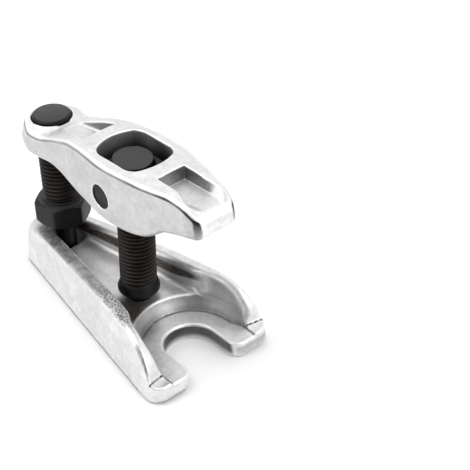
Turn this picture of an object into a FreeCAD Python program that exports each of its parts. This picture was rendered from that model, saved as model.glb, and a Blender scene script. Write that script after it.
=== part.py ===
import FreeCAD, Part
import math
import os

V = FreeCAD.Vector
UP = V(0, 0, 1)
SIDE = V(0, 1, 0)
FORWARD = V(1, 0, 0)
HALF_TURN = math.sqrt(0.5)     # sine and cosine of 45 degrees

# Lever-type ball joint separator, millimetres.
# Origin: on the ground under the centre of the fork mouth. +X runs to the open
# end of the fork, +Z up, and the object is symmetric about the XZ plane.

# --- driving dimensions ---------------------------------------------------
THREAD_R = 8.0            # both screws are M16
RUN_GAP = 0.05            # radial gap of everything that turns or slides
SPINDLE_X = -34.6         # centre spindle, and the lever's pivot above it
PIVOT_Z = 74.6
LEVER_TILT = 3.73         # nose up, degrees
SCREW_ARM = 54.7          # pivot to pressure screw, along the lever

# lower fork, in plan; a corner is the x, y and radius of its circle
REAR_CORNER = (-99.2, 5.4, 6.5)
FRONT_CORNER = (7.0, 24.3, 8.0)
REAR_X, FRONT_X = REAR_CORNER[0] - REAR_CORNER[2], FRONT_CORNER[0] + FRONT_CORNER[2]
MOUTH_R = 11.5
TIP_R = 5.5                            # rounding of each tip beside the mouth
CHANNEL_REAR = (-92.5, 0.0, 5.5)       # the channel between the rails
CHANNEL_FRONT = (-5.0, 22.0, 0.0)
# lower fork, in height
LIP_Z = 8.0
FLOOR_Z = 14.0
RAIL_Z, RAIL_REAR_Z = 26.0, 21.5
RAIL_FRONT_X, RAIL_CREST_X = 8.0, -12.0
REAR_STEP = 9.0                        # rounding of the rails' rear end
MOUTH_CHAMFER = 1.5
BOWL_R, BOWL_FLOOR_R, BOWL_TOP_R = 25.0, 20.5, 27.5
TROUGH_X, TROUGH_Z = -80.5, 7.9        # the channel is deeper behind here, for the thrust pin
# centre spindle
JOURNAL_R = 5.0
SPINDLE_TOP_Z = 85.5
CAP_R, CAP_Z = 8.75, 84.3              # disc on the spindle's end, which stops the block
COLLAR_Z, COLLAR_TOP_Z = 14.05, 23.0
COLLAR_R, COLLAR_FOOT_R = 9.2, 5.6
COLLAR_RIM = (18.2, 19.6)              # heights between which the collar is widest
RECESS_R, RECESS_Z = 11.0, 6.0         # recess under the fork for the retainer
WASHER_R, WASHER_Z, WASHER_T = 9.5, 4.4, 1.5
RING_R, RING_Z, RING_T, RING_GAP = 7.4, 3.0, 1.3, 2.4
GROOVE_R = 4.3
JOURNAL_END_Z = 1.5
# upper lever, in its own frame: u along it from the pivot, w square to it
LEVER_TOP = [(-54.7, 8.1), (-45, 8.1), (-35, 11.3), (-26, 14.2), (-18, 15.6), (2, 16.4), (26, 15.6),
             (38.5, 14.7), (45.5, 12.3), (50, 9.5), (53, 7.2)]
LEVER_BOTTOM = [(53, -1.8), (38, -3.8), (30, -8.2), (21, -12.0), (2, -12.4), (-16, -10.8),
                (-38, -6.0), (-54.7, -4.6)]
LEVER_HALF = [(-35, 13.2), (-18, 15.5), (2, 18.2), (17.5, 16.9), (32, 14.2), (45.5, 11.2), (53, 9.5)]
LEVER_REAR_R, LEVER_REAR_TURN = 14.0, 62.0   # round tail, and the angle where the sides leave it
REACH = 30.0              # cuts through the lever reach this far above and below its pivot
WINDOW_U, WINDOW_HALF, WINDOW_STRAIGHT, WINDOW_BOW = 1.3, 11.2, 11.0, 3.5
FRONT_POCKET = (26.0, 47.0, 6.3, 9.4)  # from u, to u, half width, floor w
REAR_POCKET = (-44.0, -21.5, 7.5, 8.0)
# pivot
BLOCK_HALF_X, BLOCK_HALF_Y, BLOCK_DOWN, BLOCK_UP = 9.8, 10.9, 8.0, 8.0
BLOCK_BORE_R, BLOCK_BORE_W = 8.95, 3.6  # counterbore that takes the spindle's cap, from this w up
PIN_R, PIN_HALF_Y, PIN_STEP_Y = 5.2, 18.0, 11.15
DOG_R, DOG_Y = 3.6, 8.9
# pressure screw and thrust pin, along the lever's w
SCREW_TOP_W = 9.6
SCREW_CAP_R, SCREW_CAP_W, CAP_EDGE = 8.6, 8.0, 0.8
BOSS_BORE_R, BOSS_BORE_W = 8.9, 2.6    # counterbore of the lever for the screw's cap
HEX_TOP_W, HEX_BOTTOM_W = -33.0, -43.6
HEX_FLATS = 22.0
HEX_TURN = 4.9                         # where its first corner points, degrees
THRUST_R = 4.5
THRUST_SOCKET_W = -38.0                # top of the blind hole in the hex
THRUST_END_W = -63.05
EDGE, FINE_EDGE = 1.2, 0.4             # end chamfers


# --- helpers ---------------------------------------------------------------
def arc(start, middle, end):
    return Part.Arc(start, middle, end).toShape()


def line(start, end):
    return Part.LineSegment(start, end).toShape()


def curve(points):
    spline = Part.BSplineCurve()
    spline.interpolate(points)
    return spline.toShape()


def face(edges):
    return Part.Face(Part.Wire(edges))


def slab(flat, low, high):
    """A plan face at height 0, extruded from low to high."""
    moved = flat.copy()
    moved.translate(V(0, 0, low))
    return moved.extrude(V(0, 0, high - low))


def cylinder(radius, low, high, x=0.0, y=0.0):
    return Part.makeCylinder(radius, high - low, V(x, y, low), UP)


def cone(low_radius, high_radius, low, high, x=0.0):
    return Part.makeCone(low_radius, high_radius, high - low, V(x, 0, low), UP)


def turned(profile, x=0.0):
    """A solid of revolution about the vertical at x, from (radius, height) points."""
    points = [V(x + r, 0, z) for r, z in profile]
    edges = [line(a, b) for a, b in zip(points, points[1:] + points[:1])]
    return face(edges).revolve(V(x, 0, 0), UP, 360)


def tapered(rear, front):
    """Plan face inside the belt round two rear and two front circles, each (x, y, radius)."""
    rear_centre, front_centre = V(rear[0], rear[1], 0), V(front[0], front[1], 0)
    rear_r, front_r = rear[2], front[2]
    span = front_centre - rear_centre
    angle = math.atan2(span.y, span.x) + math.asin((front_r - rear_r) / span.Length)
    normal = V(-math.sin(angle), math.cos(angle), 0)
    side = rear_centre + normal * rear_r, front_centre + normal * front_r
    heel, nose = rear_centre - FORWARD * rear_r, front_centre + FORWARD * front_r
    half = [arc(heel, rear_centre + (normal - FORWARD).normalize() * rear_r, side[0]), line(*side)]
    if front_r > 0:
        half.append(arc(side[1], front_centre + (normal + FORWARD).normalize() * front_r, nose))
    closing = [line(V(heel.x, -heel.y, 0), heel)] if rear[1] > 0 else []
    mirrored = [edge.mirror(V(0, 0, 0), SIDE) for edge in half]
    return face(half + [line(nose, V(nose.x, -nose.y, 0))] + mirrored[::-1] + closing)


def to_lever(shape):
    """From the lever's own frame to the object's."""
    placed = shape.copy()
    placed.rotate(V(0, 0, 0), SIDE, -LEVER_TILT)
    placed.translate(V(SPINDLE_X, 0, PIVOT_Z))
    return placed


# --- lower fork --------------------------------------------------------------
def fork_side():
    """Side outline: flat sole, rails that rise forwards, and the thin lip in front."""
    rear_x = REAR_X - 1
    crest_slope = (RAIL_Z - RAIL_REAR_Z) / (RAIL_CREST_X - REAR_CORNER[0])
    heel = V(rear_x, 0, RAIL_REAR_Z - REAR_STEP)
    shoulder = V(rear_x + REAR_STEP, 0, RAIL_REAR_Z)
    bend = V(rear_x + REAR_STEP * (1 - HALF_TURN), 0, RAIL_REAR_Z - REAR_STEP * (1 - HALF_TURN))
    crest = V(RAIL_CREST_X, 0, RAIL_Z - crest_slope)
    drop_x, drop_z = RAIL_FRONT_X - RAIL_CREST_X, crest.z - LIP_Z
    fall = V(RAIL_CREST_X + drop_x * HALF_TURN, 0, LIP_Z + drop_z * HALF_TURN)
    toe = V(RAIL_FRONT_X, 0, LIP_Z)
    front = FRONT_X + 1
    corners = [toe, V(front, 0, LIP_Z), V(front, 0, 0), V(rear_x, 0, 0), heel]
    edges = [line(a, b) for a, b in zip(corners, corners[1:])]
    edges += [arc(heel, bend, shoulder), line(shoulder, crest), arc(crest, fall, toe)]
    return face(edges)


def mouth(radius, grow):
    """Plan face of the fork's open mouth, its tips rounded away on both sides."""
    tip_r = TIP_R - grow
    tip_x, tip_y = FRONT_X - TIP_R, MOUTH_R + TIP_R
    half = [line(V(0, radius, 0), V(tip_x, radius, 0)),
            arc(V(tip_x, radius, 0), V(tip_x + tip_r * HALF_TURN, tip_y - tip_r * HALF_TURN, 0),
                V(tip_x + tip_r, tip_y, 0)),
            line(V(tip_x + tip_r, tip_y, 0), V(FRONT_X + TIP_R, tip_y, 0))]
    mirrored = [edge.mirror(V(0, 0, 0), SIDE) for edge in half]
    end = V(FRONT_X + TIP_R, tip_y, 0)
    closing = line(end, V(end.x, -end.y, 0))
    back = arc(V(0, -radius, 0), V(-radius, 0, 0), V(0, radius, 0))
    return face([back] + half + [closing] + mirrored[::-1])


def lower_fork():
    width = FRONT_CORNER[1] + FRONT_CORNER[2] + 2
    side = fork_side()
    side.translate(V(0, -width, 0))
    body = side.extrude(V(0, 2 * width, 0))
    body = body.common(slab(tapered(REAR_CORNER, FRONT_CORNER), -1, RAIL_Z + 1))
    channel = tapered(CHANNEL_REAR, CHANNEL_FRONT)
    body = body.cut(slab(channel, FLOOR_Z, RAIL_Z + 2))
    body = body.cut(cone(BOWL_FLOOR_R, BOWL_R, LIP_Z, FLOOR_Z))
    body = body.cut(cone(BOWL_R, BOWL_TOP_R, FLOOR_Z, RAIL_Z + 2))
    body = body.cut(slab(mouth(MOUTH_R, 0.0), -1, LIP_Z + 1))
    low = mouth(MOUTH_R, 0.0)
    low.translate(V(0, 0, LIP_Z - MOUTH_CHAMFER))
    high = mouth(MOUTH_R + MOUTH_CHAMFER, MOUTH_CHAMFER)
    high.translate(V(0, 0, LIP_Z))
    body = body.cut(Part.makeLoft([low.OuterWire, high.OuterWire], True, True))
    behind = Part.makeBox(TROUGH_X - REAR_X, 2 * width, RAIL_Z, V(REAR_X, -width, 0))
    body = body.cut(slab(channel, TROUGH_Z, FLOOR_Z + 1).common(behind))
    body = body.cut(cylinder(JOURNAL_R + RUN_GAP, 0, FLOOR_Z, SPINDLE_X))
    return body.cut(cylinder(RECESS_R, -1, RECESS_Z, SPINDLE_X))


# --- centre spindle ----------------------------------------------------------
def centre_spindle():
    groove = RING_Z - RUN_GAP, RING_Z + RING_T + RUN_GAP
    return turned([(0, JOURNAL_END_Z), (JOURNAL_R - EDGE / 2, JOURNAL_END_Z),
                   (JOURNAL_R, JOURNAL_END_Z + EDGE / 2), (JOURNAL_R, groove[0]),
                   (GROOVE_R, groove[0]), (GROOVE_R, groove[1]), (JOURNAL_R, groove[1]),
                   (JOURNAL_R, COLLAR_TOP_Z), (THREAD_R, COLLAR_TOP_Z),
                   (THREAD_R, CAP_Z), (CAP_R, CAP_Z), (CAP_R, SPINDLE_TOP_Z - FINE_EDGE),
                   (CAP_R - FINE_EDGE, SPINDLE_TOP_Z), (0, SPINDLE_TOP_Z)], SPINDLE_X)


def spindle_collar():
    return turned([(JOURNAL_R, COLLAR_Z), (COLLAR_FOOT_R, COLLAR_Z), (COLLAR_R, COLLAR_RIM[0]),
                   (COLLAR_R, COLLAR_RIM[1]), (THREAD_R, COLLAR_TOP_Z), (JOURNAL_R, COLLAR_TOP_Z)],
                  SPINDLE_X)


def ring(inner, outer, low, thick):
    return turned([(inner, low), (outer, low), (outer, low + thick), (inner, low + thick)], SPINDLE_X)


def retaining_ring():
    gap = Part.makeBox(RING_R, RING_GAP, 3 * RING_T, V(SPINDLE_X, -RING_GAP / 2, RING_Z - RING_T))
    return ring(GROOVE_R + RUN_GAP, RING_R, RING_Z, RING_T).cut(gap)


# --- upper lever ---------------------------------------------------------------
def lever_side():
    top = [V(u, 0, w) for u, w in LEVER_TOP]
    bottom = [V(u, 0, w) for u, w in LEVER_BOTTOM]
    rear = -SCREW_ARM - LEVER_REAR_R - 1
    tail = [V(rear, 0, bottom[-1].z), V(rear, 0, top[0].z)]
    return face([curve(top), line(top[-1], bottom[0]), curve(bottom), line(bottom[-1], tail[0]),
                 line(tail[0], tail[1]), line(tail[1], top[0])])


def lever_plan():
    rear_turn = math.radians(LEVER_REAR_TURN)
    join = V(-SCREW_ARM + LEVER_REAR_R * math.cos(rear_turn), LEVER_REAR_R * math.sin(rear_turn), 0)
    half = [curve([join] + [V(u, y, 0) for u, y in LEVER_HALF])]
    mirrored = [edge.mirror(V(0, 0, 0), SIDE) for edge in half]
    nose_u, nose_y = LEVER_HALF[-1]
    back = arc(V(join.x, -join.y, 0), V(-SCREW_ARM - LEVER_REAR_R, 0, 0), join)
    return face([back] + half + [line(V(nose_u, nose_y, 0), V(nose_u, -nose_y, 0))] + mirrored)


def window():
    """Opening over the pivot: straight sides, bowed ends."""
    near, far = WINDOW_U - WINDOW_STRAIGHT, WINDOW_U + WINDOW_STRAIGHT
    h, bow = WINDOW_HALF, WINDOW_BOW
    return face([arc(V(near, -h, 0), V(near - bow, 0, 0), V(near, h, 0)), line(V(near, h, 0), V(far, h, 0)),
                 arc(V(far, h, 0), V(far + bow, 0, 0), V(far, -h, 0)),
                 line(V(far, -h, 0), V(near, -h, 0))])


def pocket(size):
    start, end, half, floor = size
    return Part.makeBox(end - start, 2 * half, REACH - floor, V(start, -half, floor))


def upper_lever():
    width = max(half for _, half in LEVER_HALF) + 2
    side = lever_side()
    side.translate(V(0, -width, 0))
    body = side.extrude(V(0, 2 * width, 0)).common(slab(lever_plan(), -REACH, REACH))
    body = body.cut(slab(window(), -REACH, REACH))
    body = body.cut(cylinder(THREAD_R + RUN_GAP, -REACH, REACH, -SCREW_ARM))
    body = body.cut(cylinder(BOSS_BORE_R, BOSS_BORE_W, REACH, -SCREW_ARM))
    body = body.cut(Part.makeCylinder(PIN_R, 4 * width, V(0, -2 * width, 0), SIDE))
    for size in (FRONT_POCKET, REAR_POCKET):
        body = body.cut(pocket(size))
    return to_lever(body)


# --- pivot ---------------------------------------------------------------------
def pivot_block():
    block = Part.makeBox(2 * BLOCK_HALF_X, 2 * BLOCK_HALF_Y, BLOCK_DOWN + BLOCK_UP,
                         V(-BLOCK_HALF_X, -BLOCK_HALF_Y, -BLOCK_DOWN))
    block = block.makeChamfer(EDGE, block.Edges)
    block = block.cut(cylinder(THREAD_R + RUN_GAP, -REACH, REACH))
    block = block.cut(cylinder(BLOCK_BORE_R, BLOCK_BORE_W, REACH))
    seats = Part.makeCylinder(DOG_R + RUN_GAP, 2 * BLOCK_HALF_Y + 2, V(0, -BLOCK_HALF_Y - 1, 0), SIDE)
    block = block.cut(seats.cut(cylinder(DOG_Y - 2 * RUN_GAP, -REACH, REACH)))
    block.translate(V(SPINDLE_X, 0, PIVOT_Z))
    return block


def pivot_pin(hand):
    body = Part.makeCylinder(PIN_R, PIN_HALF_Y - PIN_STEP_Y, V(0, PIN_STEP_Y, 0), SIDE)
    dog = Part.makeCylinder(DOG_R, PIN_STEP_Y - DOG_Y, V(0, DOG_Y, 0), SIDE)
    pin = body.fuse(dog).removeSplitter()
    pin.rotate(V(0, 0, 0), UP, 0 if hand > 0 else 180)
    return to_lever(pin)


# --- pressure screw --------------------------------------------------------------
def hexagon(low, high):
    corner_r = HEX_FLATS / math.sqrt(3)
    turns = [math.radians(HEX_TURN + 60 * k) for k in range(6)]
    corners = [V(corner_r * math.cos(t), corner_r * math.sin(t), 0) for t in turns]
    flat = face([line(a, b) for a, b in zip(corners, corners[1:] + corners[:1])])
    rim_r = HEX_FLATS / 2 - FINE_EDGE
    rise = (corner_r - rim_r) * math.tan(math.radians(30))
    envelope = turned([(0, low), (rim_r, low), (corner_r, low + rise), (corner_r, high - rise),
                       (rim_r, high), (0, high)])
    return slab(flat, low, high).common(envelope)


def pressure_screw():
    shank = turned([(0, HEX_TOP_W), (THREAD_R, HEX_TOP_W), (THREAD_R, SCREW_CAP_W),
                    (SCREW_CAP_R, SCREW_CAP_W), (SCREW_CAP_R, SCREW_TOP_W - CAP_EDGE),
                    (SCREW_CAP_R - CAP_EDGE, SCREW_TOP_W), (0, SCREW_TOP_W)])
    screw = shank.fuse(hexagon(HEX_BOTTOM_W, HEX_TOP_W)).removeSplitter()
    screw = screw.cut(cylinder(THRUST_R + RUN_GAP, HEX_BOTTOM_W - 1, THRUST_SOCKET_W))
    screw.translate(V(-SCREW_ARM, 0, 0))
    return to_lever(screw)


def thrust_pin():
    dome = THRUST_R * 0.5
    tip = V(0, 0, THRUST_END_W)
    rim = V(THRUST_R, 0, THRUST_END_W + dome)
    radius = (THRUST_R ** 2 + dome ** 2) / (2 * dome)
    turn = math.asin(THRUST_R / radius) / 2
    bend = V(radius * math.sin(turn), 0, THRUST_END_W + radius * (1 - math.cos(turn)))
    top = THRUST_SOCKET_W - RUN_GAP
    shoulder, centre = V(THRUST_R, 0, top), V(0, 0, top)
    profile = [arc(tip, bend, rim), line(rim, shoulder), line(shoulder, centre), line(centre, tip)]
    pin = face(profile).revolve(V(0, 0, 0), UP, 360)
    pin.translate(V(-SCREW_ARM, 0, 0))
    return to_lever(pin)


PARTS = {
    "lower_fork": lower_fork,
    "centre_spindle": centre_spindle,
    "spindle_collar": spindle_collar,
    "thrust_washer": lambda: ring(JOURNAL_R + RUN_GAP, WASHER_R, WASHER_Z, WASHER_T),
    "retaining_ring": retaining_ring,
    "upper_lever": upper_lever,
    "pivot_block": pivot_block,
    "pivot_pin_left": lambda: pivot_pin(1),
    "pivot_pin_right": lambda: pivot_pin(-1),
    "pressure_screw": pressure_screw,
    "thrust_pin": thrust_pin,
}

os.makedirs("parts", exist_ok=True)
for name, make in PARTS.items():
    solid = make()
    if not solid.isValid():
        raise RuntimeError(name + " is not a valid solid")
    solid.exportStep("parts/" + name + ".step")
    box = solid.BoundBox
    print("%-16s %8.0f mm3  %d solid  x %.1f %.1f  y %.1f %.1f  z %.1f %.1f" % (
        name, solid.Volume, len(solid.Solids), box.XMin, box.XMax, box.YMin, box.YMax, box.ZMin, box.ZMax))
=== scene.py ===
import bpy
import bmesh
import math
import numpy as np
from mathutils import Matrix, Vector


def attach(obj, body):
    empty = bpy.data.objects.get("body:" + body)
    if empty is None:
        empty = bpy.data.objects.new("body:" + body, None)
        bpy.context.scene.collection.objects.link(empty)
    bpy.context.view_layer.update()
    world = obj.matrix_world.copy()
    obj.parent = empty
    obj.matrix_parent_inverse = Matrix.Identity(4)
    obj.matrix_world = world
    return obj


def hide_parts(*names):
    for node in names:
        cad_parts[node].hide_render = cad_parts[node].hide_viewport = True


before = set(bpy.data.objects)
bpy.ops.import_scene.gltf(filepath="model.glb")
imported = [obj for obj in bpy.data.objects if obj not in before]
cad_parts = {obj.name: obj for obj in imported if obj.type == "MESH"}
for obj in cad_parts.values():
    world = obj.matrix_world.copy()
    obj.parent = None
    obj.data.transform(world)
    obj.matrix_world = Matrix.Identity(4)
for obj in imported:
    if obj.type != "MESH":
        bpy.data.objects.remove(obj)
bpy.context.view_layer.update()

# Ball joint separator. Shapes are worked out in millimetres, in the CAD's frame,
# and written to the meshes in metres.
MM = 0.001
SPINDLE_X, PIVOT_Z, LEVER_TILT, SCREW_ARM = -34.6, 74.6, math.radians(3.73), 54.7
THREAD_PITCH, THREAD_R, FLANK_R, ROOT_R = 2.0, 8.0, 7.55, 6.85
# How far inside its outlines a forging's skin lies, and the height and size of its unevenness.
INSET, UNEVEN, UNEVEN_SIZE = 0.13, 0.09, 7.0


# --- distance fields --------------------------------------------------------
# A field is a distance in millimetres, negative inside. In meet, join and carve, r is the radius
# of the new edge.
def meet(a, b, r):
    """What both shapes share, its new edge rounded."""
    outside = np.hypot(np.maximum(a + r, 0), np.maximum(b + r, 0))
    return np.minimum(np.maximum(a, b), -r) + outside


def join(a, b, r):
    """Both shapes together, with a fillet in the new corner."""
    return -meet(-a, -b, r)


def carve(a, b, r):
    """The first shape without the second, its new edge rounded."""
    return meet(a, -b, r)


def ease(t):
    """0 below 0, 1 above 1, and smooth between them."""
    t = np.clip(t, 0.0, 1.0)
    return t * t * (3 - 2 * t)


def curve(points):
    """A smooth function through (place, value) points, constant beyond its ends."""
    p = np.array(points, float)
    x, y = p[:, 0], p[:, 1]
    secant = np.diff(y) / np.diff(x)
    slope = np.zeros(len(x))
    weighted = secant[1:] * np.diff(x)[:-1] + secant[:-1] * np.diff(x)[1:]
    slope[1:-1] = weighted / (x[2:] - x[:-2])
    slope[0], slope[-1] = secant[0], secant[-1]

    def value(at):
        q = np.clip(at, x[0], x[-1])
        k = np.clip(np.searchsorted(x, q, side="right") - 1, 0, len(x) - 2)
        h = x[k + 1] - x[k]
        t = (q - x[k]) / h
        return ((1 + 2 * t) * (1 - t) ** 2 * y[k] + t * (1 - t) ** 2 * h * slope[k]
                + t * t * (3 - 2 * t) * y[k + 1] + t * t * (t - 1) * h * slope[k + 1])
    return value


def steepness(height, at):
    """What a height over a sloping curve is multiplied by to become a distance."""
    slope = (height(at + 0.2) - height(at - 0.2)) / 0.4
    return 1 / np.hypot(1, slope)


def waves(x, y, z, size, seed):
    """Slow unevenness of a forging, from a few crossed sine waves, about -1 to 1."""
    rng = np.random.default_rng(seed)
    total = 0.0
    for _ in range(5):
        a, b, c = rng.normal(size=3) / size
        total = total + np.sin(a * x + b * y + c * z + rng.uniform(0, 6.28))
    return total / 3.0


# --- fields to meshes -------------------------------------------------------
GRADIENT_STEP = 0.02
PULLS, LEAST_SLOPE, LONGEST_PULL = 4, 0.05, 0.4   # how net points are drawn onto the surface


def gradient(field, p):
    g = np.empty_like(p)
    for k in range(3):
        d = np.zeros(3)
        d[k] = GRADIENT_STEP
        g[:, k] = (field(*(p + d).T) - field(*(p - d).T)) / (2 * GRADIENT_STEP)
    return g


def surface(field, low, high, step):
    """Vertices and quads of the surface where the field is zero, by surface nets."""
    axes = [np.arange(a, b + step, step) for a, b in zip(low, high)]
    grid = np.meshgrid(*axes, indexing="ij", sparse=True)
    f = np.broadcast_to(field(*grid), tuple(len(a) for a in axes))
    solid = f < 0
    count = np.zeros(tuple(n - 1 for n in f.shape), np.int8)
    corners = [(i, j, k) for i in (0, 1) for j in (0, 1) for k in (0, 1)]
    for i, j, k in corners:
        count += solid[i:i + count.shape[0], j:j + count.shape[1], k:k + count.shape[2]]
    cell = np.argwhere((count > 0) & (count < 8))
    number = np.full(count.shape, -1)
    number[tuple(cell.T)] = np.arange(len(cell))
    value = np.stack([f[tuple((cell + c).T)] for c in corners], 1)
    total, hits = np.zeros((len(cell), 3)), np.zeros(len(cell))
    for a in range(8):
        for b in range(a + 1, 8):
            ca, cb = np.array(corners[a]), np.array(corners[b])
            if abs(ca - cb).sum() != 1:
                continue
            crossing = (value[:, a] < 0) != (value[:, b] < 0)
            t = value[crossing, a] / (value[crossing, a] - value[crossing, b])
            total[crossing] += ca + t[:, None] * (cb - ca)
            hits[crossing] += 1
    p = (cell + total / hits[:, None]) * step + np.array(low)
    for _ in range(PULLS):
        g = gradient(field, p)
        move = -(field(*p.T) / np.maximum((g * g).sum(1), LEAST_SLOPE))[:, None] * g
        size = np.linalg.norm(move, axis=1)[:, None]
        p += move * np.minimum(1, LONGEST_PULL * step / np.maximum(size, 1e-9))
    faces = []
    for axis in range(3):
        u, v = (axis + 1) % 3, (axis + 2) % 3
        near = np.take(solid, range(f.shape[axis] - 1), axis)
        far = np.take(solid, range(1, f.shape[axis]), axis)
        edge = np.argwhere(near != far)
        edge = edge[(edge[:, u] > 0) & (edge[:, v] > 0)
                    & (edge[:, u] < number.shape[u]) & (edge[:, v] < number.shape[v])]
        quad = np.empty((len(edge), 4), int)
        for n, (du, dv) in enumerate([(-1, -1), (0, -1), (0, 0), (-1, 0)]):
            at = edge.copy()
            at[:, u] += du
            at[:, v] += dv
            quad[:, n] = number[tuple(at.T)]
        flip = far[tuple(edge.T)]
        quad[flip] = quad[flip, ::-1]
        faces.append(quad)
    return p, np.concatenate(faces)


def make_object(name, points, faces, normals=None, marks=None):
    """A mesh object from millimetre points, with named per-point marks for its material."""
    mesh = bpy.data.meshes.new(name)
    rings = [list(map(int, f)) for f in faces]
    mesh.from_pydata((np.asarray(points) * MM).tolist(), [], rings)
    mesh.validate()
    for key, values in (marks or {}).items():
        layer = mesh.attributes.new(key, "FLOAT", "POINT")
        layer.data.foreach_set("value", np.asarray(values, np.float32))
    mesh.shade_smooth()
    if normals is not None:
        mesh.normals_split_custom_set_from_vertices(normals.tolist())
    obj = bpy.data.objects.new(name, mesh)
    bpy.context.scene.collection.objects.link(obj)
    return obj


def convexity(field, p, reach):
    """How the surface bends at each point, per millimetre: edges above 0, corners below."""
    total = -6 * field(*p.T)
    for k in range(3):
        d = np.zeros(3)
        d[k] = reach
        total = total + field(*(p + d).T) + field(*(p - d).T)
    return total / reach ** 2


EDGE_REACH, EDGE_LIMIT = 0.5, 1.5


def sculpt(name, field, low, high, step, place=None, marks=None):
    """A mesh object from a field, with its edge mark, placed in the object's frame."""
    p, faces = surface(field, low, high, step)
    n = gradient(field, p)
    n /= np.linalg.norm(n, axis=1)[:, None]
    values = {"edge": np.clip(convexity(field, p, EDGE_REACH), -EDGE_LIMIT, EDGE_LIMIT)}
    values.update({key: make(*p.T, n) for key, make in (marks or {}).items()})
    if place is not None:
        p, n = place(p), place(n, False)
    return make_object(name, p, faces, n, values)


def to_lever(p, moves=True):
    """From the lever's own axes to the object's. Directions don't move, they only turn."""
    c, s = math.cos(LEVER_TILT), math.sin(LEVER_TILT)
    q = np.stack([p[:, 0] * c - p[:, 2] * s, p[:, 1], p[:, 0] * s + p[:, 2] * c], 1)
    return q + np.array([SPINDLE_X, 0, PIVOT_Z]) * bool(moves)


# --- lower fork ---------------------------------------------------------------
REAR_X, FRONT_X = -105.6, 15.0
SIDE_Y, SIDE_SLOPE = 30.95, 0.192         # half width of the outline at the mouth, and its slope
SIDE_COS, SIDE_DRAFT = 0.982, 0.055       # the slope's cosine, and how the outline narrows upwards
CHANNEL_Y, CHANNEL_REAR_X = 22.6, -92.5   # half width between the rails, and where their arc begins
REAR_CORNER_R, FRONT_CORNER_R, MOUTH_R, TIP_R = 6.5, 8.0, 11.5, 5.5
LIP_Z, FLOOR_Z, TROUGH_X, TROUGH_Z = 8.0, 14.0, -80.5, 7.9
BOWL_FOOT_R, BOWL_R, BOWL_SCALE = 21.0, 25.1, 0.85
SPINDLE_BORE_R, RECESS_R, RECESS_TOP = 5.05, 11, 6
TOE_X, TOE_Y, TOE_SLANT = 8.4, 22, 0.15   # where the rails end in front, on a slanting line
NEAR_EDGE_R, FAR_EDGE_R = 0.8, 2.8        # the near rail's inner edge is sharper than the far rail's
rail_top = curve([(-106, 20.2), (-92, 21.6), (-80, 22.6), (-55, 24.4), (-32, 25.8), (-20, 25.8),
                  (-12, 25.6), (-7, 24.8), (-3, 23.2), (0, 21.3), (3, 18.9), (5, 16.6), (6.8, 13.2),
                  (7.8, 10.2), (8.6, 9.5), (16, 9.2)])


def mouth_field(x, y):
    """Distance outside the mouth, in plan."""
    return np.where(x < 0, np.hypot(x, y), y) - MOUTH_R


def channel_wall(x, y):
    """Distance outside the channel's walls, in plan."""
    straight = (y - CHANNEL_Y - SIDE_SLOPE * x) * SIDE_COS
    end_r = CHANNEL_Y + SIDE_SLOPE * CHANNEL_REAR_X
    return np.where(x < CHANNEL_REAR_X, np.hypot(x - CHANNEL_REAR_X, y) - end_r, straight)


def bowl_wall(x, y, z):
    """Distance outside the seat's wall: round behind the mouth, straight in front of it."""
    rise = np.clip((z - LIP_Z) / (FLOOR_Z - LIP_Z), 0, 1)
    foot = BOWL_FOOT_R + 2.0 * ease(x / 7)
    crown = BOWL_R - 0.9 * ease((x + 15) / 10) + 0.03 * (z - FLOOR_Z)
    wall = foot + (crown - foot) * rise * (1.3 - 0.3 * rise)
    return (np.where(x < 0, np.hypot(x, y), y) - wall) * BOWL_SCALE


def fork_field(x, across, z):
    y = np.abs(across)
    near = across < 0
    side = (y - SIDE_Y - SIDE_SLOPE * x) * SIDE_COS
    outline = meet(meet(side, REAR_X - x, REAR_CORNER_R), x - FRONT_X, FRONT_CORNER_R)
    outline = meet(outline, -mouth_field(x, y), TIP_R) + SIDE_DRAFT * z
    along = x - TOE_SLANT * (y - TOE_Y)
    top_z = rail_top(along)
    top = (z - top_z) * steepness(rail_top, along)
    top_edge_r = 1.0 + 1.3 * ease((top_z - 10) / 6) + 3.4 * ease((-84 - x) / 14)
    foot_edge_r = 0.9 + 1.7 * ease(x / 8)
    body = meet(outline, top, top_edge_r)
    body = meet(body, -z, foot_edge_r)
    inner = channel_wall(x, y)
    channel = meet(inner - 0.02 * (z - FLOOR_Z), FLOOR_Z - z, 3.0)
    body = carve(body, channel, np.where(near, NEAR_EDGE_R, FAR_EDGE_R))
    over_rail = ease((inner + 1.5) / 2) * ease((z - 10) / 3)
    bowl = meet(bowl_wall(x, y, z), LIP_Z - z, 0.4)
    rail_softer = np.where(near, 0.6, 2.0) * over_rail
    mouth_softer = 0.5 * ease((MOUTH_R + 4 - np.hypot(x, y)) / 3)
    body = carve(body, bowl, 0.8 + (rail_softer + mouth_softer))
    trough = meet(meet(inner, x - TROUGH_X, 0.6), TROUGH_Z - z, 0.8)
    body = carve(body, trough, 0.6)
    reach = np.hypot(x - SPINDLE_X, y)
    body = carve(body, reach - SPINDLE_BORE_R, 0.5)
    body = carve(body, meet(reach - RECESS_R, z - RECESS_TOP, 0.4), 0.6)
    return body + (INSET + UNEVEN * waves(x, across, z, UNEVEN_SIZE, 3)) * ease((z - 2) / 6)


def fork_grain(x, y, z, n):
    """Where the forging keeps its skin: the top of the near rail. The dark stretch at its rear end is
    painted shade from the hexagon.
    """
    top = ease((z - 15) / 3) * ease((n[:, 2] - 0.4) / 0.5) * (y < 0)
    return top * ease((-7 - x) / 8) * (0.25 + 0.75 * ease((x + 99) / 8))


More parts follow.
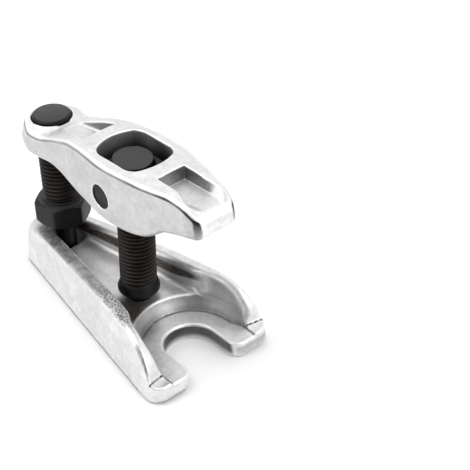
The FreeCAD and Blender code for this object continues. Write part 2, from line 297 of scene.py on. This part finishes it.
def fork_shade_and_film(x, y, z, n):
    """Painted shade along the rails' inner walls, and beside the collar a painted shadow on the floor
    mixed with an oily film.
    """
    inward = ease((-n[:, 1] * np.sign(y) - 0.35) / 0.4)
    foot = 16.8 + 2.4 * ease((x + 34) / 16)
    wall = inward * ease((z - foot) / 1.2) * ease((23.5 - z) / 2.0) * ease((-14 - x) / 9)
    patch = ease((17 - np.hypot(x + 28, 1.2 * (y + 11))) / 13)
    patch = patch * ease((n[:, 2] - 0.5) / 0.4) * ease((16.5 - z) / 2)
    return np.maximum(wall, patch)


def fork_shade(x, y, z, n):
    """Grey on the walls of the seat, the mouth and the tips, and two lines: one at the foot of the
    seat's wall, and one down the near rail's fall."""
    upright = ease((0.8 - n[:, 2]) / 0.2)
    seat = ease((0.6 - np.abs(bowl_wall(x, np.abs(y), z))) / 0.4)
    seat = seat * upright * ease((z - LIP_Z + 0.2) / 0.3)
    seat = seat * (0.5 + 0.3 * ease((LIP_Z + 3.0 - z) / 3))
    foot = ease((0.55 - np.abs(bowl_wall(x, np.abs(y), LIP_Z))) / 0.35) * (z > 7.4) * (z < 8.8)
    seat = np.maximum(seat, 0.9 * foot)
    mouth = ease((1.2 - mouth_field(x, np.abs(y))) / 0.8)
    mouth = mouth * ease((7.5 - z) / 0.8) * ease((z - 0.1) / 3.6)
    far_tip = (y > 0) * ease((6.3 - z) / 0.8) * ease((z + 1) / 7)
    near_tip = (y < 0) * ease((2.9 - z) / 1.2)
    front = ease((x - 12.6) / 1.2) * np.maximum(0.45 * far_tip, 0.5 * near_tip)
    brow = (y < 0) * ease((x + 4) / 4) * ease((8.5 - x) / 3) * ease((-n[:, 1] - 0.25) / 0.2)
    brow = brow * ease((n[:, 2] - 0.2) / 0.2) * ease((z - 9) / 2)
    return np.clip(seat + np.maximum(mouth, front) * upright + brow, 0, 1)


HEIGHT_LIMIT, TOE_LIMIT = 6.0, 4


def fork_height(x, y, z, n):
    """Height above the ground, for the painted contact shadow: a dark line round the fork's foot.

    There is no line under the fork, nor in its mouth."""
    line = (n[:, 2] > -0.75) & (mouth_field(x, np.abs(y)) > 6)
    return np.where(line, np.minimum(z, HEIGHT_LIMIT), HEIGHT_LIMIT)


def fork_toe(x, y, z, n):
    """How far in front of the rails' toes a place is."""
    return np.clip(x - TOE_SLANT * (np.abs(y) - TOE_Y) - TOE_X, -TOE_LIMIT, TOE_LIMIT)


def fork_ledge(x, y, z, n):
    """1 on the small ledge of each tip, where the toe line is."""
    return ((z > 8.3) & (z < 12) & (np.abs(y) > 22.5) & (x > 5)).astype(float)


# --- upper lever ----------------------------------------------------------------
# The lever's own axes: u along it from the pivot to the nose, y across, w up.
NOSE_U, NOSE_LEAN, BOSS_R, BOSS_TOP, BOSS_FALL = 52.9, 0.12, 13.9, 8.3, 0.34
SCREW_BORE_R, CAP_BORE_R, CAP_BORE_FLOOR, PIN_BORE_R = 8.1, 8.9, 2.6, 5.25
RIDGE_FALL = 0.0048                 # the top is crowned by this much times the square of y
BELLY, BELLY_W, BELLY_HALF = 0.8, 1.5, 13.0   # the sides bulge by this, most at that w
lever_top = curve([(-72, 7.0), (-54.7, 7.0), (-46, 7.3), (-35, 11.0), (-26, 14.0), (-18, 15.5),
                   (-8, 16.1), (1, 16.2), (12, 16.1), (26, 15.5), (38.5, 14.6), (45.5, 12.1),
                   (50, 9.3), (53, 7.1)])
lever_bottom = curve([(-72, -4.2), (-54.7, -4.2), (-38, -5.8), (-16, -10.6), (2, -12.2),
                      (17, -12.0), (25, -10.0), (30, -6.9), (34, -4.3), (38, -3.5), (52, -1.7)])
lever_half = curve([(-60, 12.0), (-47, 12.2), (-35, 12.7), (-18, 15.0), (2, 17.5), (17.5, 16.4),
                    (32, 13.9), (38.5, 12.3), (45.5, 10.9), (53, 9.3)])
WINDOW_U, WINDOW_HALF, WINDOW_REACH, BOW_R = 2.5, 11.5, 14.9, 18.5   # a window with bowed ends
FRONT_POCKET_REAR, FRONT_POCKET_HALF, FRONT_POCKET_FLOOR, FRONT_POCKET_W = 26.0, 6.25, 9.2, 9.4
REAR_POCKET_FRONT, REAR_POCKET_HALF, REAR_POCKET_FLOOR = -21.5, 8.4, 8.0


def window_field(u, y):
    ends = np.hypot(np.abs(u - WINDOW_U) - WINDOW_REACH + BOW_R, y) - BOW_R
    return meet(ends, np.abs(y) - WINDOW_HALF, 2.5)


def lever_crown(u, y):
    """Height of the lever's top: it falls to the sides, and from the screw's boss outwards."""
    ridge = lever_top(u) - RIDGE_FALL * y ** 2
    boss = BOSS_TOP - BOSS_FALL * (np.hypot(u + SCREW_ARM, y) - CAP_BORE_R)
    return 0.5 * (ridge + boss + np.hypot(ridge - boss, 0.5))


def front_pocket(u, y, w):
    """Steep at its rear; towards the nose its sides lean out, and its floor runs into the top."""
    front = ease((u - 37) / 10)
    lean = 0.10 + 0.9 * front
    rise = w - FRONT_POCKET_W
    side = (y - FRONT_POCKET_HALF + 0.3 * front - lean * rise) / np.hypot(1, lean)
    walls = meet(side, FRONT_POCKET_REAR - u - 0.10 * rise, 0.7)
    return meet(walls, FRONT_POCKET_FLOOR - w, 0.5 + 1.0 * front)


def rear_pocket(u, y, w):
    """Narrows to the rear with the lever, and its floor runs out above the boss."""
    side = y - REAR_POCKET_HALF - 0.144 * (u + 21) - 0.15 * (w - 14.5)
    walls = meet(side, u - REAR_POCKET_FRONT - 0.10 * (w - REAR_POCKET_FLOOR), 1.2)
    return meet(walls, REAR_POCKET_FLOOR - w, 1.5)


def lever_field(u, y, w):
    y = np.abs(y)
    belly = BELLY * (1.0 - ((w - BELLY_W) / BELLY_HALF) ** 2)
    reach = np.hypot(u + SCREW_ARM, y)
    boss = reach - BOSS_R + 0.27 * np.maximum(w, 0) + 0.15 * np.maximum(-w, 0)
    flank = meet((y - lever_half(u) - belly) * 0.97, -SCREW_ARM - u, 3.0)
    plan = meet(join(boss, flank, 6.0), u - NOSE_U + NOSE_LEAN * np.abs(w - 2), 2.7)
    top = (w - lever_crown(u, y)) * steepness(lever_top, u)
    bottom = (lever_bottom(u) - w) * steepness(lever_bottom, u)
    body = meet(plan, top, 0.7)
    body = meet(body, (plan + top) * 0.707 + 0.5, 0.8)
    body = meet(body, bottom, 2.6)
    body = carve(body, window_field(u, y) - 0.02 * (w + 4), 0.8)
    body = carve(body, reach - SCREW_BORE_R, 0.5)
    body = carve(body, meet(reach - CAP_BORE_R, CAP_BORE_FLOOR - w, 0.3), 0.4)
    body = carve(body, front_pocket(u, y, w), 0.7)
    body = carve(body, rear_pocket(u, y, w), 0.7)
    body = carve(body, np.hypot(u, w) - PIN_BORE_R, 0.4)
    return body + INSET + UNEVEN * waves(u, y, w, UNEVEN_SIZE, 8)


def lever_window_shade(u, y, w, n):
    """Painted shade: the window's walls are darkened to near black."""
    below = ease((lever_crown(u, np.abs(y)) - 0.6 - w) / 0.7)
    return ease((0.7 - window_field(u, np.abs(y))) / 0.5) * below


def lever_shade(u, y, w, n):
    """The pockets' walls are grey, and the sides a little darker than the top."""
    side = 0.28 * ease((n[:, 1] * np.sign(y) - 0.5) / 0.3)
    y = np.abs(y)
    near = np.minimum(np.abs(front_pocket(u, y, w)), np.abs(rear_pocket(u, y, w)))
    wall = ease((0.7 - near) / 0.4) * ease((0.75 - n[:, 2]) / 0.3) * ease((45 - u) / 8)
    return np.maximum(0.8 * wall, side)


def lever_film(u, y, w, n):
    """A dark film of grease round the upright corners of the nose, fading downwards."""
    turn = ease((np.minimum(n[:, 0], n[:, 1] * np.sign(y)) - 0.12) / 0.3)
    fading = 0.5 + 0.5 * ease((w + 1) / (lever_crown(u, np.abs(y)) + 1))
    return ease((u - 44) / 3) * turn * fading * ease((0.75 - n[:, 2]) / 0.3)


def lever_depth(u, y, w, n):
    """How far below the lever's crown a place on its side is, in millimetres."""
    outside = n[:, 1] * np.sign(y) > 0.3
    return np.where(outside, np.clip(lever_crown(u, np.abs(y)) - w, -3, 6), 0.0)


def lever_reach(u, y, w, n):
    """How far along the lever a place is: 0 at the window's rear, 1 at the nose."""
    return (u + 12) / 64


# --- turned and threaded pieces --------------------------------------------------
# One turn of a thread as (part of the turn, radius), and the length over which a thread fades.
CREST_SIDE_R = THREAD_R - 0.04
THREAD_PROFILE = [(0.0, ROOT_R), (0.10, ROOT_R), (0.30, FLANK_R), (0.44, CREST_SIDE_R),
                  (0.50, THREAD_R), (0.56, CREST_SIDE_R), (0.70, FLANK_R), (0.90, ROOT_R)]
THREAD_FADE = 1.2


def lathe(rows, centre, segments=72, thread=None):
    """Points and faces of a turned solid from (radius, height) rows, from its foot to its top.

    thread is (first row, low, high): between those heights a right-hand thread is cut, its rows
    following the helix, after the row with that number."""
    turn = np.arange(segments) * 2 * math.pi / segments
    columns = []
    for t in turn:
        rings = list(rows)
        if thread:
            after, low, high = thread
            turns = int(math.ceil((high - low) / THREAD_PITCH)) + 2
            helix = []
            for k in range(-1, turns):
                for part, r in THREAD_PROFILE:
                    z = low + THREAD_PITCH * (k + part + t / (2 * math.pi))
                    z = min(max(z, low), high)
                    fade = min(1.0, (z - low) / THREAD_FADE, (high - z) / THREAD_FADE)
                    helix.append((ROOT_R + (r - ROOT_R) * fade, z))
            rings[after + 1:after + 1] = helix
        columns.append(rings)
    count = len(columns[0])
    first = thread[0] + 1 if thread else 0
    helical = count - len(rows)
    points = [(centre[0] + r * math.cos(t), centre[1] + r * math.sin(t), z)
              for t, rings in zip(turn, columns) for r, z in rings]
    faces = []

    def at(column, row):
        """The seam joins a row of the helix to the row one turn up."""
        if column < segments:
            return column * count + row
        if first <= row < first + helical:
            return min(row + len(THREAD_PROFILE), first + helical)
        return row
    for i in range(segments):
        for k in range(count - 1):
            faces.append([at(i, k), at(i + 1, k), at(i + 1, k + 1), at(i, k + 1)])
    return points, faces


def crest_mark(points, axis):
    """1 on the crests of a thread round an upright axis, 0 elsewhere."""
    reach = np.hypot(points[:, 0] - axis[0], points[:, 1] - axis[1])
    return ease((reach - 7.7) / 0.28) * (reach < THREAD_R + 0.02)


def clean(obj, sharp_degrees):
    """Merges doubled points, drops what has no area, turns faces outwards, marks sharp edges."""
    bm = bmesh.new()
    bm.from_mesh(obj.data)
    bmesh.ops.remove_doubles(bm, verts=bm.verts, dist=2e-6)
    bmesh.ops.dissolve_degenerate(bm, edges=bm.edges, dist=1e-6)
    bmesh.ops.recalc_face_normals(bm, faces=bm.faces)
    bm.to_mesh(obj.data)
    bm.free()
    obj.data.shade_smooth()
    obj.data.set_sharp_from_angle(angle=math.radians(sharp_degrees))
    return obj


def turned(name, rows, centre=(SPINDLE_X, 0.0), thread=None, segments=72, place=None):
    points, faces = lathe(rows, centre, segments, thread)
    points = np.array(points, float)
    marks = {"crest": crest_mark(points, centre)} if thread else None
    if place is not None:
        points = place(points)
    return clean(make_object(name, points, faces, marks=marks), 32)


# --- materials --------------------------------------------------------------------
MIX_A, MIX_B, MIX_RESULT = 6, 7, 2   # the colour sockets of the Mix node


class Nodes:
    """Short way to build a node material."""

    def __init__(self, name):
        self.material = bpy.data.materials.new(name)
        self.material.use_nodes = True
        self.tree = self.material.node_tree
        self.shader = self.tree.nodes["Principled BSDF"]
        self.place = self.tree.nodes.new("ShaderNodeTexCoord").outputs["Object"]

    def add(self, kind, inputs=None, **settings):
        node = self.tree.nodes.new(kind)
        for key, value in settings.items():
            setattr(node, key, value)
        for key, value in (inputs or {}).items():
            self.put(node.inputs[key], value)
        return node

    def put(self, socket, value):
        if isinstance(value, bpy.types.NodeSocket):
            self.tree.links.new(value, socket)
        else:
            socket.default_value = value

    def noise(self, scale, detail=3.0, rough=0.5, at=None):
        inputs = {"Vector": at or self.place, "Scale": scale, "Detail": detail, "Roughness": rough}
        return self.add("ShaderNodeTexNoise", inputs).outputs["Fac"]

    def squeeze(self, scale, x=1.0, y=1.0, z=1.0):
        """Noise that is drawn out along an axis whose factor is below 1."""
        node = self.add("ShaderNodeMapping", {"Vector": self.place, "Scale": (x, y, z)})
        return self.noise(scale, 4.0, 0.6, node.outputs["Vector"])

    def span(self, value, low, high, out_low=0.0, out_high=1.0):
        node = self.add("ShaderNodeMapRange", {"Value": value, "From Min": low, "From Max": high,
                                               "To Min": out_low, "To Max": out_high})
        return node.outputs["Result"]

    def math(self, kind, a, b=0.0):
        node = self.add("ShaderNodeMath", operation=kind)
        self.put(node.inputs[0], a)
        self.put(node.inputs[1], b)
        return node.outputs[0]

    def mix(self, factor, a, b):
        """Colour a where the factor is 0, and b where it is 1."""
        node = self.add("ShaderNodeMix", data_type="RGBA")
        self.put(node.inputs[0], factor)
        self.put(node.inputs[MIX_A], a)
        self.put(node.inputs[MIX_B], b)
        return node.outputs[MIX_RESULT]

    def mark(self, name):
        return self.add("ShaderNodeAttribute", attribute_name=name).outputs["Fac"]

    def bump(self, height, distance, strength=1.0, below=None):
        inputs = {"Height": height, "Distance": distance, "Strength": strength}
        if below is not None:
            inputs["Normal"] = below
        return self.add("ShaderNodeBump", inputs).outputs["Normal"]

    def finish(self, **inputs):
        for key, value in inputs.items():
            self.put(self.shader.inputs[key.replace("_", " ").title()], value)
        return self.material


def grey(v, warm=0.0):
    """A grey, made a little warmer by a share of its value."""
    return (v * (1 + warm), v, v * (1 - warm), 1.0)


def thin_line(n, distance, middle, half_width, wander):
    """1 along the line where a distance mark has one value, 0 away from it."""
    off = n.math("SUBTRACT", n.math("ADD", distance, wander), middle)
    return n.span(n.math("ABSOLUTE", off), 0.4 * half_width, half_width, 1.0, 0.0)


def plated_forging(name, lever=False):
    """Bright plated forging: tumbled faces, painted highlights on its edges and painted shade in its
    corners, rough skin left on it, and painted shade along the rails' inner walls and beside the
    collar.
    """
    n = Nodes(name)
    edge, shade = n.mark("edge"), n.mark("shade")
    fine, broad, grit = n.noise(1400, 4.0, 0.65), n.noise(70, 3.0), n.noise(1350, 2.0, 0.7)
    streak = n.squeeze(130, 0.25, 1.0, 1.0)
    patch, cloud = n.noise(520, 3.0, 0.6), n.noise(190, 4.0, 0.65)
    wander = n.span(streak, 0.2, 0.8, -0.3, 0.3)
    tone = n.mix(n.span(broad, 0.3, 0.7), grey(0.78, 0.004), grey(0.89))
    tone = n.mix(n.span(streak, 0.35, 0.75, 0.0, 0.30), tone, grey(0.60, 0.006))
    tone = n.mix(n.span(cloud, 0.42, 0.68, 0.0, 0.50), tone, grey(0.60, 0.008))
    tone = n.mix(n.span(patch, 0.40, 0.75, 0.0, 0.35), tone, grey(0.48, 0.01))
    # Painted shade: concave corners are darkened.
    tone = n.mix(n.span(edge, -0.25, -0.9, 0.0, 0.5), tone, grey(0.34, 0.03))
    shaded = n.math("MULTIPLY", shade, n.span(broad, 0.2, 0.8, 1.0, 0.85))
    tone = n.mix(shaded, tone, grey(0.035, 0.03))
    # Painted highlight: convex edges are brightened to near white.
    tone = n.mix(n.span(edge, 0.3, 0.9, 0.0, 0.7), tone, grey(0.95))
    if lever:
        grain = 0.0
        # Painted dark reflection: a thin brown line along the bevel at the lever's rim.
        line = thin_line(n, n.mark("depth"), 1.1, 0.75, wander)
        line = n.math("MULTIPLY", line, n.span(n.mark("reach"), 0.0, 0.8, 0.7, 1.0))
        line = n.math("MULTIPLY", line, n.span(broad, 0.35, 0.6, 0.75, 1.0))
        tone = n.mix(line, tone, (0.045, 0.03, 0.024, 1.0))
        tone = n.mix(n.mark("film"), tone, (0.04, 0.032, 0.028, 1.0))
        # Painted shade: the window's walls are darkened to near black.
        tone = n.mix(n.mark("dark"), tone, (0.016, 0.013, 0.012, 1.0))
    else:
        grain = n.mark("grain")
        length = n.add("ShaderNodeSeparateXYZ", {"Vector": n.place}).outputs["X"]
        length = n.math("ADD", length, n.span(cloud, 0.3, 0.7, -0.010, 0.010))
        # Painted shade: the dark stretch at the rear end stands for shade cast by the hexagon; the
        # rest of the band is the forging's skin.
        smooth = n.mix(n.span(patch, 0.35, 0.65), grey(0.06, 0.01), grey(0.21, 0.01))
        worn = n.mix(n.span(cloud, 0.35, 0.65), grey(0.20, 0.01), grey(0.50, 0.01))
        speckled = n.mix(n.span(grit, 0.42, 0.60), grey(0.14, 0.02), grey(0.80, 0.01))
        skin = n.mix(n.span(length, -0.082, -0.062), smooth, worn)
        skin = n.mix(n.span(length, -0.045, -0.028), skin, speckled)
        tone = n.mix(n.math("MULTIPLY", grain, 0.95), tone, skin)
        # Painted highlight: a bright line along the sharp inner edge of the near rail's rough band.
        patchy = n.span(cloud, 0.35, 0.6, 0.3, 1.0)
        crest = n.math("MULTIPLY", n.span(edge, 0.8, 1.2, 0.0, 0.9), patchy)
        tone = n.mix(n.math("MULTIPLY", crest, n.span(grain, 0.0, 0.2)), tone, grey(0.95))
        # Painted shade: this colour, called scale here, darkens the rails' inner walls, and beside
        # the collar it is painted shadow mixed with an oily film.
        dark_shade_and_film, pale_shade_and_film = (0.028, 0.020, 0.016, 1.0), (0.085, 0.066, 0.055, 1.0)
        scale = n.mix(n.span(broad, 0.3, 0.7), dark_shade_and_film, pale_shade_and_film)
        speckle = n.span(grit, 0.40, 0.62, 1.0, 0.84)
        tone = n.mix(n.math("MULTIPLY", n.mark("shade_and_film"), speckle), tone, scale)
        # Painted shade: a dark line in the small step along the rails' toes.
        toe = n.math("MULTIPLY", thin_line(n, n.mark("toe"), 0.0, 0.5, wander), n.mark("ledge"))
        toe = n.math("MULTIPLY", toe, n.span(patch, 0.3, 0.55, 0.3, 1.0))
        tone = n.mix(toe, tone, grey(0.03, 0.03))
        # Painted contact shadow: a dark line round the fork's foot.
        tone = n.mix(n.span(n.mark("height"), 0.9, 1.5, 1.0, 0.0), tone, grey(0.015, 0.03))
    rough = n.math("ADD", n.span(fine, 0.3, 0.7, 0.34, 0.46), n.math("MULTIPLY", grain, 0.18))
    relief = n.bump(broad, 0.0006, 0.35)
    relief = n.bump(fine, 0.00012, 0.30, relief)
    relief = n.bump(n.math("MULTIPLY", grit, grain), 0.00035, 0.8, relief)
    n.shader.inputs["Metallic"].default_value = 0.8
    return n.finish(base_color=tone, roughness=rough, normal=relief)


def black_oxide(name):
    """Oiled black oxide: near black, with worn specks, worn crests that also carry a painted glint,
    and paler level faces, a painted reflection of the bright room above.
    """
    n = Nodes(name)
    fine, broad = n.noise(1500, 4.0, 0.6), n.noise(160, 3.0)
    tone = n.mix(n.span(broad, 0.35, 0.7), grey(0.003, 0.04), grey(0.007, 0.05))
    tone = n.mix(n.span(fine, 0.64, 0.8, 0.0, 0.5), tone, grey(0.05, 0.05))
    facing = n.add("ShaderNodeNewGeometry").outputs["Normal"]
    upwards = n.add("ShaderNodeSeparateXYZ", {"Vector": facing}).outputs["Z"]
    # Painted reflection: faces that look up are paler, as they mirror the bright room above.
    tone = n.mix(n.span(upwards, 0.85, 0.98, 0.0, 0.8), tone, grey(0.055, 0.02))
    # The crests are worn, and their colour also carries a painted glint.
    rubbed_and_glint = n.mix(n.span(broad, 0.35, 0.65), (0.036, 0.020, 0.012, 1.0), (0.06, 0.043, 0.034, 1.0))
    crest = n.math("MULTIPLY", n.mark("crest"), n.span(fine, 0.35, 0.65, 0.4, 1.0))
    tone = n.mix(crest, tone, rubbed_and_glint)
    n.shader.inputs["Metallic"].default_value = 0.0
    n.shader.inputs["Specular IOR Level"].default_value = 0.18
    rough = n.span(broad, 0.3, 0.7, 0.32, 0.46)
    return n.finish(base_color=tone, roughness=rough, normal=n.bump(fine, 0.00006, 0.5))


def zinc_steel(name):
    """Zinc plated washer and ring, with turning marks."""
    n = Nodes(name)
    ring = n.squeeze(500, 1.0, 1.0, 0.2)
    tone = n.mix(n.span(ring, 0.3, 0.7), grey(0.46), grey(0.64, 0.01))
    n.shader.inputs["Metallic"].default_value = 1.0
    rough = n.span(ring, 0.3, 0.7, 0.28, 0.4)
    return n.finish(base_color=tone, roughness=rough, normal=n.bump(ring, 0.00005, 0.4))


def dress(obj, material, body, node):
    """Gives a piece its material and the body it moves with, and hides the CAD node it stands for."""
    obj.data.materials.clear()
    obj.data.materials.append(material)
    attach(obj, body)
    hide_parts(node)


# --- the object ---------------------------------------------------------------------
FORK_STEP = 0.55
LEVER_STEP = 0.5
BLOCK_STEP = 0.5

fork_steel = plated_forging("plated_forging_fork")
lever_steel = plated_forging("plated_forging_lever", lever=True)
black = black_oxide("black_oxide")
zinc = zinc_steel("zinc_steel")

fork = sculpt("fork_forging", fork_field, (-106, -34, -1.5), (17, 34, 28), FORK_STEP,
              marks={"grain": fork_grain, "shade_and_film": fork_shade_and_film, "shade": fork_shade,
                     "height": fork_height, "toe": fork_toe, "ledge": fork_ledge})
dress(fork, fork_steel, "base", "lower_fork")

lever = sculpt("lever_forging", lever_field, (-73, -20, -15), (55, 20, 19), LEVER_STEP, to_lever,
               marks={"dark": lever_window_shade, "shade": lever_shade, "film": lever_film,
                      "depth": lever_depth, "reach": lever_reach})
dress(lever, lever_steel, "lever", "upper_lever")

COLUMN_LOW, COLUMN_HIGH = 22.5, 84.2   # the spindle's threaded column
spindle_rows = [(0, 1.5), (4.4, 1.5), (5.0, 2.1), (5.0, 22.0), (ROOT_R, COLUMN_LOW),
                (ROOT_R, COLUMN_HIGH), (8.5, 84.3), (8.7, 84.5), (8.7, 85.1), (8.4, 85.45), (0, 85.5)]
spindle = turned("spindle_thread", spindle_rows, thread=(4, COLUMN_LOW, COLUMN_HIGH))
dress(spindle, black, "spindle", "centre_spindle")

collar_rows = [(4.95, 14.1), (5.2, 14.1), (5.6, 15.6), (6.6, 16.4), (8.0, 17.2), (8.9, 17.9),
               (9.15, 18.3), (9.15, 19.5), (8.8, 20.3), (8.4, 21.4), (8.0, 22.6), (7.7, 22.9),
               (ROOT_R, 23.0), (4.95, 23.0), (4.95, 14.1)]
collar = turned("spindle_collar_ring", collar_rows)
dress(collar, black, "spindle", "spindle_collar")


def on_screw(p, moves=True):
    """From the pressure screw's own axis to the object's frame."""
    return to_lever(p + np.array([-SCREW_ARM, 0, 0]) * bool(moves), moves)


HEX_LOW, HEX_HIGH, HEX_FLATS, HEX_TURN = -43.6, -33.0, 22.0, math.radians(4.9)
CHAMFER_SLOPE, CORNER_CUT, RIM_INSET = math.tan(math.radians(30)), 0.25, 0.5
SOCKET_R, SOCKET_DEPTH = 4.55, 5.5
SHANK_LOW, SHANK_HIGH = HEX_HIGH + 0.6, 7.9


def hex_head(segments_per_face=12):
    """Chamfered hexagon with a blind socket under it, as points and faces."""
    half, corner = HEX_FLATS / 2, HEX_FLATS / math.sqrt(3)
    rim = half - RIM_INSET
    points, count = [], 6 * segments_per_face
    for i in range(count):
        t = i * 2 * math.pi / count
        across = (t % (math.pi / 3)) - math.pi / 6
        r = min(half / math.cos(across), corner - CORNER_CUT)
        drop = (r - rim) * CHAMFER_SLOPE
        rows = [(SOCKET_R, HEX_LOW + SOCKET_DEPTH), (SOCKET_R, HEX_LOW), (rim, HEX_LOW),
                (r, HEX_LOW + drop), (r, HEX_HIGH - drop), (rim, HEX_HIGH), (8.6, HEX_HIGH),
                (8.4, HEX_HIGH + 0.5), (ROOT_R, SHANK_LOW)]
        points += [(q * math.cos(t + HEX_TURN), q * math.sin(t + HEX_TURN), w) for q, w in rows]
    n = len(rows)
    faces = [[i * n + k, (i + 1) % count * n + k, (i + 1) % count * n + k + 1, i * n + k + 1]
             for i in range(count) for k in range(n - 1)]
    faces.append([i * n for i in range(count)])
    return points, faces


def pressure_screw():
    """The hexagon, the threaded shank above it, and the smooth cap on top."""
    rows = [(ROOT_R, SHANK_LOW), (ROOT_R, SHANK_HIGH), (8.3, 8.0), (8.5, 8.2), (8.5, 8.8),
            (7.8, 9.5), (7.6, 9.58), (0, 9.6)]
    shank, shank_faces = lathe(rows, (0, 0), thread=(0, SHANK_LOW, SHANK_HIGH))
    head, head_faces = hex_head()
    faces = shank_faces + [[v + len(shank) for v in f] for f in head_faces]
    points = np.array(shank + head, float)
    marks = {"crest": crest_mark(points, (0, 0)) * (points[:, 2] > SHANK_LOW)}
    return clean(make_object("pressure_screw_body", on_screw(points), faces, marks=marks), 28)


screw = pressure_screw()
dress(screw, black, "screw", "pressure_screw")

thrust_rows = [(0.0, -63.05), (1.6, -62.9), (3.0, -62.5), (4.0, -61.7), (4.5, -60.6), (4.5, -38.4),
               (4.2, -38.05), (0, -38.05)]
thrust = turned("thrust_pin_body", thrust_rows, (0, 0), place=on_screw, segments=48)
dress(thrust, black, "thrust_tip", "thrust_pin")


def pivot_pin(name, hand):
    """A pin across the lever: its dog point towards the block, its dished head outwards."""
    rows = [(0, 8.95), (3.4, 8.95), (3.6, 9.15), (3.6, 11.15), (5.2, 11.15), (5.2, 17.2),
            (4.75, 17.75), (4.3, 17.75), (4.1, 17.45), (0, 17.4)]

    def place(p, moves=True):
        q = np.stack([p[:, 0], hand * p[:, 2], p[:, 1]], 1)
        return to_lever(q, moves)
    return turned(name, rows, (0, 0), place=place, segments=56)


dress(pivot_pin("pivot_pin_plus", 1), black, "lever", "pivot_pin_left")
dress(pivot_pin("pivot_pin_minus", -1), black, "lever", "pivot_pin_right")


BLOCK_X, BLOCK_Y, BLOCK_Z = 9.8, 10.9, 8
BLOCK_BORE_R, BLOCK_CAP_R, BLOCK_CAP_FLOOR = 8.05, 8.95, 3.6
DOG_R, DOG_SEAT_Y = 3.65, 8.7


def block_field(x, y, z):
    box = meet(meet(np.abs(x) - BLOCK_X, np.abs(y) - BLOCK_Y, 1.5), np.abs(z) - BLOCK_Z, 1.2)
    reach = np.hypot(x, y)
    box = carve(box, reach - BLOCK_BORE_R, 0.3)
    box = carve(box, meet(reach - BLOCK_CAP_R, BLOCK_CAP_FLOOR - z, 0.2), 0.3)
    return carve(box, meet(np.hypot(x, z) - DOG_R, DOG_SEAT_Y - np.abs(y), 0.1), 0.3)


def to_block(p, moves=True):
    return p + np.array([SPINDLE_X, 0, PIVOT_Z]) * bool(moves)


block = sculpt("pivot_block_body", block_field, (-11, -12, -9), (11, 12, 9), BLOCK_STEP, to_block)
dress(block, black, "pivot_carrier", "pivot_block")

washer_rows = [(5.05, 4.45), (9.2, 4.4), (9.5, 4.7), (9.5, 5.6), (9.2, 5.9), (5.05, 5.85),
               (5.05, 4.45)]
washer = turned("thrust_washer_ring", washer_rows)
dress(washer, zinc, "spindle", "thrust_washer")

ring = bpy.data.objects["retaining_ring"]
ring.data.materials.clear()
ring.data.materials.append(zinc)


# --- floor, light and camera ------------------------------------------------------------
def soft_card(name, size, place, aim, power):
    """A round white light, its size and places in metres and its power in watts."""
    light = bpy.data.lights.new(name, "AREA")
    light.shape, light.size, light.energy = "DISK", size, power
    obj = bpy.data.objects.new(name, light)
    obj.location = place
    obj.rotation_mode = "QUATERNION"
    obj.rotation_quaternion = (Vector(place) - Vector(aim)).to_track_quat("Z", "Y")
    bpy.context.scene.collection.objects.link(obj)


HALF_FLOOR = 4   # in metres
floor_corners = [(-HALF_FLOOR, -HALF_FLOOR, 0), (HALF_FLOOR, -HALF_FLOOR, 0),
                 (HALF_FLOOR, HALF_FLOOR, 0), (-HALF_FLOOR, HALF_FLOOR, 0)]
floor_mesh = bpy.data.meshes.new("studio_floor")
floor_mesh.from_pydata(floor_corners, [], [(0, 1, 2, 3)])
floor = bpy.data.objects.new("studio_floor", floor_mesh)
bpy.context.scene.collection.objects.link(floor)
paper = Nodes("floor_paper")
paper.shader.inputs["Base Color"].default_value = (0.93, 0.93, 0.93, 1)
paper.shader.inputs["Roughness"].default_value = 0.6
floor_mesh.materials.append(paper.material)

world = bpy.data.worlds.new("studio_white")
bpy.context.scene.world = world
world.use_nodes = True
sky = world.node_tree
direction = sky.nodes.new("ShaderNodeTexCoord").outputs["Generated"]
# The room is white all round, and darker towards one side.
DARK_SIDE = (0.72, -0.64, 0.27)
toward = sky.nodes.new("ShaderNodeVectorMath")
toward.operation = "DOT_PRODUCT"
toward.inputs[1].default_value = DARK_SIDE
sky.links.new(direction, toward.inputs[0])
shade = sky.nodes.new("ShaderNodeMapRange")
shade.inputs["From Min"].default_value, shade.inputs["From Max"].default_value = 0.55, 0.92
shade.inputs["To Min"].default_value, shade.inputs["To Max"].default_value = 1.0, 0.12
sky.links.new(toward.outputs["Value"], shade.inputs["Value"])
sky.links.new(shade.outputs["Result"], sky.nodes["Background"].inputs["Color"])
sky.nodes["Background"].inputs["Strength"].default_value = 1.02
soft_card("key_card", 0.7, (-0.30, -0.30, 0.85), (-0.04, 0, 0.04), 2.7)
soft_card("front_card", 0.5, (0.62, 0.12, 0.50), (0.0, 0, 0.01), 1.9)
soft_card("low_card", 0.6, (-0.30, -0.75, 0.30), (-0.04, 0, 0.04), 0.9)
bpy.context.scene.view_settings.view_transform = "Standard"

AZIMUTH, ELEVATION, ROLL = math.radians(48.204), math.radians(37.518), math.radians(-0.405)
CAMERA_PLACE, SENSOR, LENS = (0.427718, -0.357651, 0.493113), 36.0, 133.59
back = Vector((math.sin(AZIMUTH) * math.cos(ELEVATION), -math.cos(AZIMUTH) * math.cos(ELEVATION),
               math.sin(ELEVATION)))
right = Vector((math.cos(AZIMUTH), math.sin(AZIMUTH), 0))
up = back.cross(right)
camera_data = bpy.data.cameras.new("camera")
camera_data.sensor_width, camera_data.lens = SENSOR, LENS
camera_data.clip_start, camera_data.clip_end = 0.01, 20
camera = bpy.data.objects.new("camera", camera_data)
turned_right = right * math.cos(ROLL) + up * math.sin(ROLL)
turned_up = up * math.cos(ROLL) - right * math.sin(ROLL)
basis = Matrix((turned_right, turned_up, back)).transposed()
camera.matrix_world = Matrix.Translation(CAMERA_PLACE) @ basis.to_4x4()
bpy.context.scene.collection.objects.link(camera)
bpy.context.scene.camera = camera
